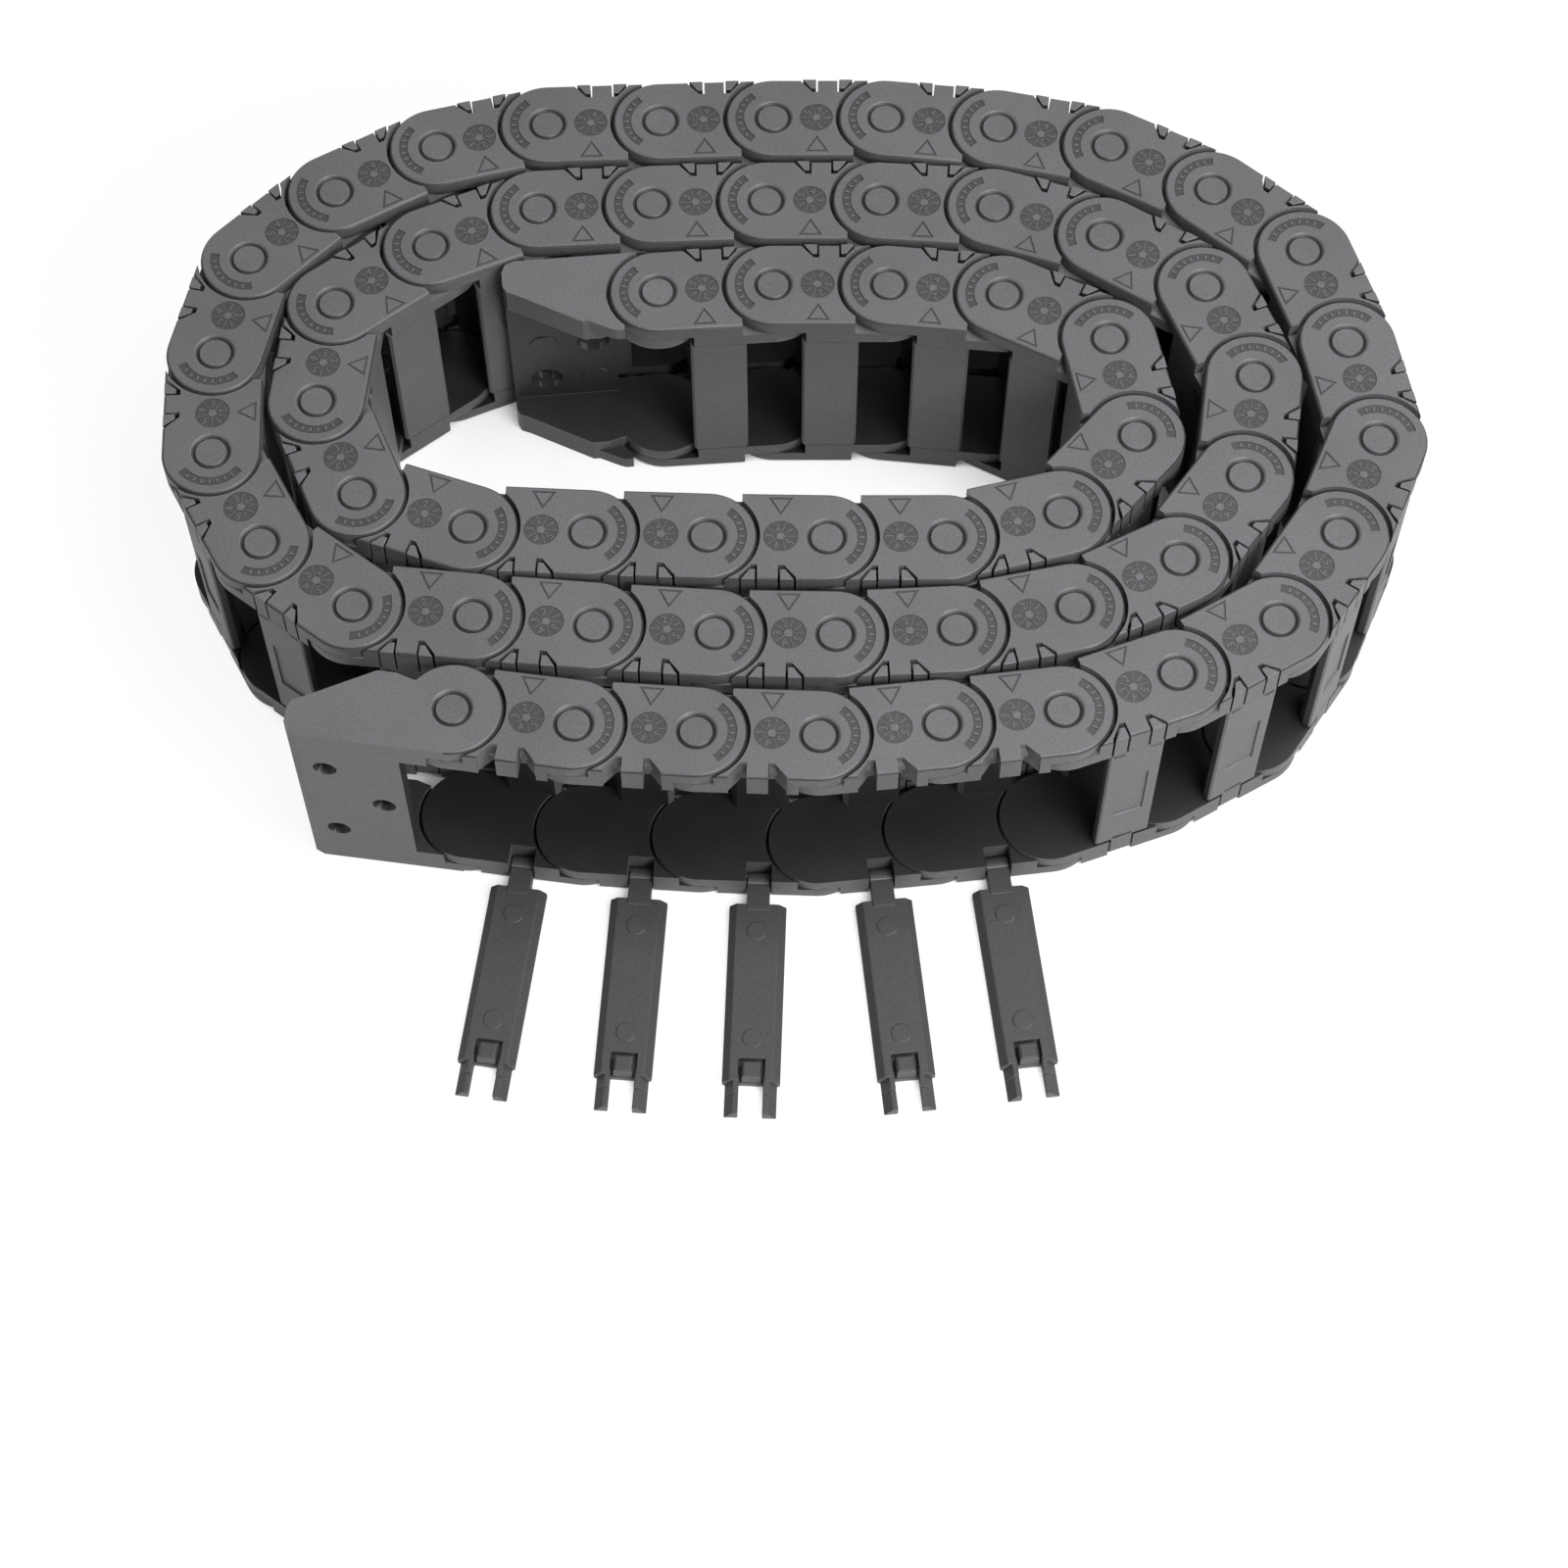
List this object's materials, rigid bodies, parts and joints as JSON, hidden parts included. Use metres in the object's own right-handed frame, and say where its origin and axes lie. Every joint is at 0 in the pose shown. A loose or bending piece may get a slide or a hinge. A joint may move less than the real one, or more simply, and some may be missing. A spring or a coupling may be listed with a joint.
{
  "type": "cable drag chain",
  "caption": "Coiled cable drag chain lying on its side: hinged links with snap-open crossbars on the outside of the bend and a screw-on bracket at each end.",
  "frame": {"origin": "centre of the bounding box at the surface that the coil lies on", "axes": "+X along the coil's long side and the outermost link, +Z across the chain's width, parallel to every hinge pin"},
  "size_m": [0.1936, 0.1674, 0.04],
  "materials": {
    "link": "matte black glass-filled nylon",
    "crossbar": "matte black glass-filled nylon",
    "bracket": "matte black glass-filled nylon"
  },
  "bodies": {
    "coil": {"links_16_20": "link", "links_21_24": "link", "links_25_28": "link", "links_29_32": "link", "links_33_36": "link", "links_37_40": "link", "links_41_44": "link", "links_45_48": "link", "links_49_52": "link", "links_53_56": "link", "crossbars_16_20": "crossbar", "crossbars_21_25": "crossbar", "crossbars_26_30": "crossbar", "crossbars_31_35": "crossbar", "crossbars_36_40": "crossbar", "crossbars_41_45": "crossbar", "crossbars_46_50": "crossbar", "crossbars_51_56": "crossbar"},
    "link_15": {"link_15": "link"},
    "link_14": {"link_14": "link"},
    "link_13": {"link_13": "link"},
    "link_12": {"link_12": "link"},
    "link_11": {"link_11": "link"},
    "link_10": {"link_10": "link"},
    "link_09": {"link_09": "link"},
    "link_08": {"link_08": "link"},
    "link_07": {"link_07": "link"},
    "link_06": {"link_06": "link"},
    "link_05": {"link_05": "link"},
    "link_04": {"link_04": "link"},
    "link_03": {"link_03": "link"},
    "link_02": {"link_02": "link"},
    "link_01": {"link_01": "link"},
    "outer_bracket": {"outer_bracket": "bracket"},
    "link_57": {"link_57": "link", "crossbar_57": "crossbar"},
    "inner_bracket": {"inner_bracket": "bracket"},
    "crossbar_01": {"crossbar_01": "crossbar"},
    "crossbar_02": {"crossbar_02": "crossbar"},
    "crossbar_03": {"crossbar_03": "crossbar"},
    "crossbar_04": {"crossbar_04": "crossbar"},
    "crossbar_05": {"crossbar_05": "crossbar"},
    "crossbar_06": {"crossbar_06": "crossbar"},
    "crossbar_07": {"crossbar_07": "crossbar"},
    "crossbar_08": {"crossbar_08": "crossbar"},
    "crossbar_09": {"crossbar_09": "crossbar"},
    "crossbar_10": {"crossbar_10": "crossbar"},
    "crossbar_11": {"crossbar_11": "crossbar"},
    "crossbar_12": {"crossbar_12": "crossbar"},
    "crossbar_13": {"crossbar_13": "crossbar"},
    "crossbar_14": {"crossbar_14": "crossbar"},
    "crossbar_15": {"crossbar_15": "crossbar"}
  },
  "joints": [
    {"name": "pin_16", "type": "hinge", "parent": "coil", "child": "link_15", "pos_m": [0.00746, 0.07557, 0.02], "axis": [0, 0, 1], "range_deg": [0, 6]},
    {"name": "pin_15", "type": "hinge", "parent": "link_15", "child": "link_14", "pos_m": [0.02545, 0.0762, 0.02], "axis": [0, 0, 1], "range_deg": [0, 6]},
    {"name": "pin_14", "type": "hinge", "parent": "link_14", "child": "link_13", "pos_m": [0.04341, 0.07494, 0.02], "axis": [0, 0, 1], "range_deg": [0, 16]},
    {"name": "pin_13", "type": "hinge", "parent": "link_13", "child": "link_12", "pos_m": [0.06032, 0.06878, 0.02], "axis": [0, 0, 1], "range_deg": [0, 12]},
    {"name": "pin_12", "type": "hinge", "parent": "link_12", "child": "link_11", "pos_m": [0.07559, 0.05925, 0.02], "axis": [0, 0, 1], "range_deg": [0, 32]},
    {"name": "pin_11", "type": "hinge", "parent": "link_11", "child": "link_10", "pos_m": [0.08348, 0.04307, 0.02], "axis": [0, 0, 1], "range_deg": [0, 7]},
    {"name": "pin_10", "type": "hinge", "parent": "link_10", "child": "link_09", "pos_m": [0.08934, 0.02605, 0.02], "axis": [0, 0, 1], "range_deg": [0, 34]},
    {"name": "pin_09", "type": "hinge", "parent": "link_09", "child": "link_08", "pos_m": [0.08468, 0.00866, 0.02], "axis": [0, 0, 1], "range_deg": [0, 11]},
    {"name": "pin_08", "type": "hinge", "parent": "link_08", "child": "link_07", "pos_m": [0.07679, -0.00752, 0.02], "axis": [0, 0, 1], "range_deg": [0, 26]},
    {"name": "pin_07", "type": "hinge", "parent": "link_07", "child": "link_06", "pos_m": [0.0626, -0.0186, 0.02], "axis": [0, 0, 1], "range_deg": [0, 10]},
    {"name": "pin_06", "type": "hinge", "parent": "link_06", "child": "link_05", "pos_m": [0.04671, -0.02705, 0.02], "axis": [0, 0, 1], "range_deg": [0, 13]},
    {"name": "pin_05", "type": "hinge", "parent": "link_05", "child": "link_04", "pos_m": [0.02932, -0.03171, 0.02], "axis": [0, 0, 1], "range_deg": [0, 1]},
    {"name": "pin_04", "type": "hinge", "parent": "link_04", "child": "link_03", "pos_m": [0.01186, -0.03606, 0.02], "axis": [0, 0, 1], "range_deg": [0, 8]},
    {"name": "pin_03", "type": "hinge", "parent": "link_03", "child": "link_02", "pos_m": [-0.00604, -0.03794, 0.02], "axis": [0, 0, 1], "range_deg": [0, 2]},
    {"name": "pin_02", "type": "hinge", "parent": "link_02", "child": "link_01", "pos_m": [-0.024, -0.0392, 0.02], "axis": [0, 0, 1], "range_deg": [0, 4]},
    {"name": "pin_01", "type": "hinge", "parent": "link_01", "child": "outer_bracket", "pos_m": [-0.042, -0.0392, 0.02], "axis": [0, 0, 1], "range_deg": [-14, 0]},
    {"name": "pin_57", "type": "hinge", "parent": "coil", "child": "link_57", "pos_m": [-0.00588, 0.04134, 0.02], "axis": [0, 0, 1], "range_deg": [0, 38]},
    {"name": "pin_58", "type": "hinge", "parent": "link_57", "child": "inner_bracket", "pos_m": [-0.02349, 0.0376, 0.02], "axis": [0, 0, 1], "range_deg": [0, 59]},
    {"name": "crossbar_01_hinge", "type": "hinge", "parent": "link_01", "child": "crossbar_01", "pos_m": [-0.0328, -0.0452, 0.0015], "axis": [1, 0, 0], "range_deg": [-90, 0]},
    {"name": "crossbar_02_hinge", "type": "hinge", "parent": "link_02", "child": "crossbar_02", "pos_m": [-0.0144, -0.04454, 0.0015], "axis": [0.9976, 0.0698, 0], "range_deg": [-90, 0]},
    {"name": "crossbar_03_hinge", "type": "hinge", "parent": "link_03", "child": "crossbar_03", "pos_m": [0.00373, -0.04295, 0.0015], "axis": [0.9945, 0.1045, 0], "range_deg": [-90, 0]},
    {"name": "crossbar_04_hinge", "type": "hinge", "parent": "link_04", "child": "crossbar_04", "pos_m": [0.02224, -0.03966, 0.0015], "axis": [0.9703, 0.2419, 0], "range_deg": [-90, 0]},
    {"name": "crossbar_05_hinge", "type": "hinge", "parent": "link_05", "child": "crossbar_05", "pos_m": [0.03976, -0.03512, 0.0015], "axis": [0.9659, 0.2588, 0], "range_deg": [-90, 0]},
    {"name": "crossbar_06_hinge", "type": "hinge", "parent": "link_06", "child": "crossbar_06", "pos_m": [0.05765, -0.02803, 0.0015], "axis": [0.8829, 0.4695, 0], "range_deg": [0, 90]},
    {"name": "crossbar_07_hinge", "type": "hinge", "parent": "link_07", "child": "crossbar_07", "pos_m": [0.07355, -0.01766, 0.0015], "axis": [0.788, 0.6157, 0], "range_deg": [0, 90]},
    {"name": "crossbar_08_hinge", "type": "hinge", "parent": "link_08", "child": "crossbar_08", "pos_m": [0.08621, -0.00188, 0.0015], "axis": [0.4384, 0.8988, 0], "range_deg": [0, 90]},
    {"name": "crossbar_09_hinge", "type": "hinge", "parent": "link_09", "child": "crossbar_09", "pos_m": [0.09285, 0.01599, 0.0015], "axis": [0.2588, 0.9659, 0], "range_deg": [0, 90]},
    {"name": "crossbar_10_hinge", "type": "hinge", "parent": "link_10", "child": "crossbar_10", "pos_m": [0.09201, 0.0367, 0.0015], "axis": [-0.3256, 0.9455, 0], "range_deg": [0, 90]},
    {"name": "crossbar_11_hinge", "type": "hinge", "parent": "link_11", "child": "crossbar_11", "pos_m": [0.08484, 0.05397, 0.0015], "axis": [-0.4384, 0.8988, 0], "range_deg": [0, 90]},
    {"name": "crossbar_12_hinge", "type": "hinge", "parent": "link_12", "child": "crossbar_12", "pos_m": [0.07096, 0.06921, 0.0015], "axis": [-0.848, 0.5299, 0], "range_deg": [0, 90]},
    {"name": "crossbar_13_hinge", "type": "hinge", "parent": "link_13", "child": "crossbar_13", "pos_m": [0.05373, 0.07757, 0.0015], "axis": [-0.9397, 0.342, 0], "range_deg": [0, 90]},
    {"name": "crossbar_14_hinge", "type": "hinge", "parent": "link_14", "child": "crossbar_14", "pos_m": [0.03465, 0.08157, 0.0015], "axis": [-0.9976, 0.0698, 0], "range_deg": [0, 90]},
    {"name": "crossbar_15_hinge", "type": "hinge", "parent": "link_15", "child": "crossbar_15", "pos_m": [0.01605, 0.08187, 0.0015], "axis": [-0.9994, -0.0349, 0], "range_deg": [0, 90]}
  ]
}
